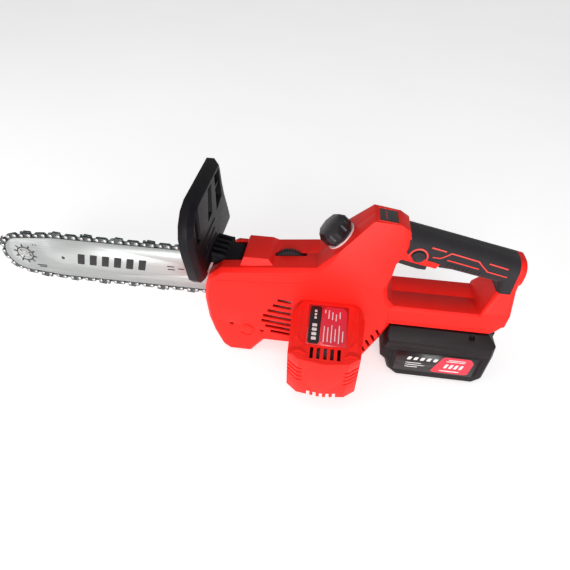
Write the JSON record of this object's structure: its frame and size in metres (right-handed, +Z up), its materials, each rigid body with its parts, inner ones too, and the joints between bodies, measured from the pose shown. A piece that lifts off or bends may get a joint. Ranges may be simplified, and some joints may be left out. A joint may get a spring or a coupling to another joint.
{
  "type": "battery chainsaw",
  "caption": "Cordless chainsaw with a guide bar and chain, hand guard, oil cap, transverse motor housing, closed rear handle and a slide-on battery.",
  "frame": {"origin": "centre of the front foot, on the plane that the saw stands on", "axes": "+X from the bar towards the rear handle, +Y towards the sprocket cover, away from the motor, +Z up"},
  "size_m": [0.5873, 0.175, 0.207],
  "materials": {
    "red_shell": "satin moulded",
    "red_box": "satin moulded",
    "grip_rubber": "fine matte grain",
    "black_plastic": "fine matte grain",
    "guard_plastic": "satin moulded",
    "cap_plastic": "satin moulded",
    "seal_rubber": "soft matte",
    "screw_steel": "blackened",
    "bar_steel": "ground",
    "chain_steel": "dark blued",
    "rivet_steel": "bright",
    "gear_steel": "machined",
    "alloy": "cast",
    "motor_steel": "dull",
    "copper_winding": "enamelled",
    "magnet": "dull",
    "fan_plastic": "moulded",
    "clear_tank": "translucent",
    "window_black": "smooth glossy",
    "board_green": "coated",
    "label_film": "printed film",
    "pack_label_film": "printed film",
    "pack_plastic": "fine grain",
    "cell_wrap": "shrink film",
    "contact_brass": "plated",
    "spring_steel": "bright"
  },
  "bodies": {
    "body": {"housing_left": "red_shell", "housing_right": "red_shell", "brake_cover": "red_shell", "sprocket_cover": "red_shell", "motor_housing": "red_box", "motor_end_cap": "red_box", "motor_label": "label_film", "housing_screws": "screw_steel", "grip_left": "grip_rubber", "grip_right": "grip_rubber", "bar_studs": "gear_steel", "chain_drive_links": "chain_steel", "chain_tie_straps": "chain_steel", "chain_cutters": "chain_steel", "chain_rivets": "rivet_steel", "spindle_bearings": "gear_steel", "gear_plate": "alloy", "motor_case": "motor_steel", "motor_magnets": "magnet", "guard_pin": "gear_steel", "brake_switch": "black_plastic", "oil_tank": "clear_tank", "oil_pump": "black_plastic", "oil_tube": "clear_tank", "display_window": "window_black", "display_board": "board_green", "control_board": "board_green", "trigger_pin": "gear_steel", "power_switch": "black_plastic", "battery_shoe": "black_plastic", "terminal_block": "contact_brass"},
    "guard": {"hand_guard": "guard_plastic"},
    "bar": {"guide_bar": "bar_steel", "nose_rivets": "rivet_steel", "tension_slider": "gear_steel"},
    "nose": {"nose_sprocket": "gear_steel"},
    "tensioner": {"tension_wheel": "black_plastic"},
    "drive": {"spindle": "gear_steel", "drive_gear": "gear_steel", "drive_sprocket": "gear_steel", "sprocket_clip": "spring_steel"},
    "rotor": {"motor_shaft": "gear_steel", "motor_armature": "copper_winding", "motor_pinion": "gear_steel", "cooling_fan": "fan_plastic"},
    "cap_carrier": {"oil_cap_seal": "seal_rubber"},
    "cap": {"oil_cap": "cap_plastic"},
    "knob": {"cover_knob": "black_plastic"},
    "trigger": {"trigger": "black_plastic"},
    "lockoff": {"lockoff_button": "black_plastic"},
    "battery": {"battery_case_lower": "pack_plastic", "battery_case_upper": "pack_plastic", "battery_cells": "cell_wrap", "battery_board": "board_green", "battery_contacts": "contact_brass", "battery_label": "pack_label_film", "button_spring": "spring_steel"},
    "release": {"battery_button": "black_plastic"}
  },
  "joints": [
    {"name": "guard_tilt", "type": "hinge", "parent": "body", "child": "guard", "pos_m": [0, 0, 0.121], "axis": [0, -1, 0], "range_deg": [0, 8]},
    {"name": "bar_tension", "type": "slide", "parent": "body", "child": "bar", "axis": [1, 0, 0], "range_m": [0, 0.0039]},
    {"name": "tension_turn", "type": "hinge", "parent": "body", "child": "tensioner", "pos_m": [0.0545, 0, 0.1217], "axis": [0, -1, 0], "range_deg": [0, 45]},
    {"name": "nose_spin", "type": "hinge", "parent": "bar", "child": "nose", "pos_m": [-0.278, 0.026, 0.074], "axis": [0, -1, 0], "continuous": true},
    {"name": "drive_spin", "type": "hinge", "parent": "body", "child": "drive", "pos_m": [0.07, 0, 0.074], "axis": [0, -1, 0], "continuous": true},
    {"name": "rotor_spin", "type": "hinge", "parent": "body", "child": "rotor", "pos_m": [0.09891, 0, 0.054], "axis": [0, -1, 0], "continuous": true},
    {"name": "cap_lift", "type": "slide", "parent": "body", "child": "cap_carrier", "axis": [-0.7343, 0, 0.6789], "range_m": [0, 0.03]},
    {"name": "cap_turn", "type": "hinge", "parent": "cap_carrier", "child": "cap", "pos_m": [0.10459, 0, 0.15985], "axis": [-0.7343, 0, 0.6789], "continuous": true},
    {"name": "knob_turn", "type": "hinge", "parent": "body", "child": "knob", "pos_m": [0.016, 0.05, 0.074], "axis": [0, -1, 0], "continuous": true},
    {"name": "trigger_press", "type": "hinge", "parent": "body", "child": "trigger", "pos_m": [0.162, 0, 0.15], "axis": [0, -1, 0], "range_deg": [0, 7], "stiffness_Nm_per_rad": 0.6, "springref_deg": -5.73},
    {"name": "lockoff_press", "type": "slide", "parent": "body", "child": "lockoff", "axis": [0, 1, 0], "range_m": [0, 0.003], "stiffness_N_per_m": 800, "springref_m": -0.001},
    {"name": "battery_slide", "type": "slide", "parent": "body", "child": "battery", "axis": [1, 0, 0], "range_m": [0, 0.12]},
    {"name": "release_press", "type": "slide", "parent": "battery", "child": "release", "axis": [0, 0, -1], "range_m": [0, 0.003], "stiffness_N_per_m": 800, "springref_m": -0.001, "deforming": ["button_spring"]}
  ],
  "couplings": [
    {"joint": "tension_turn", "follows": "bar_tension", "rad_per_m": 200},
    {"joint": "rotor_spin", "follows": "drive_spin", "ratio": -4.6}
  ]
}
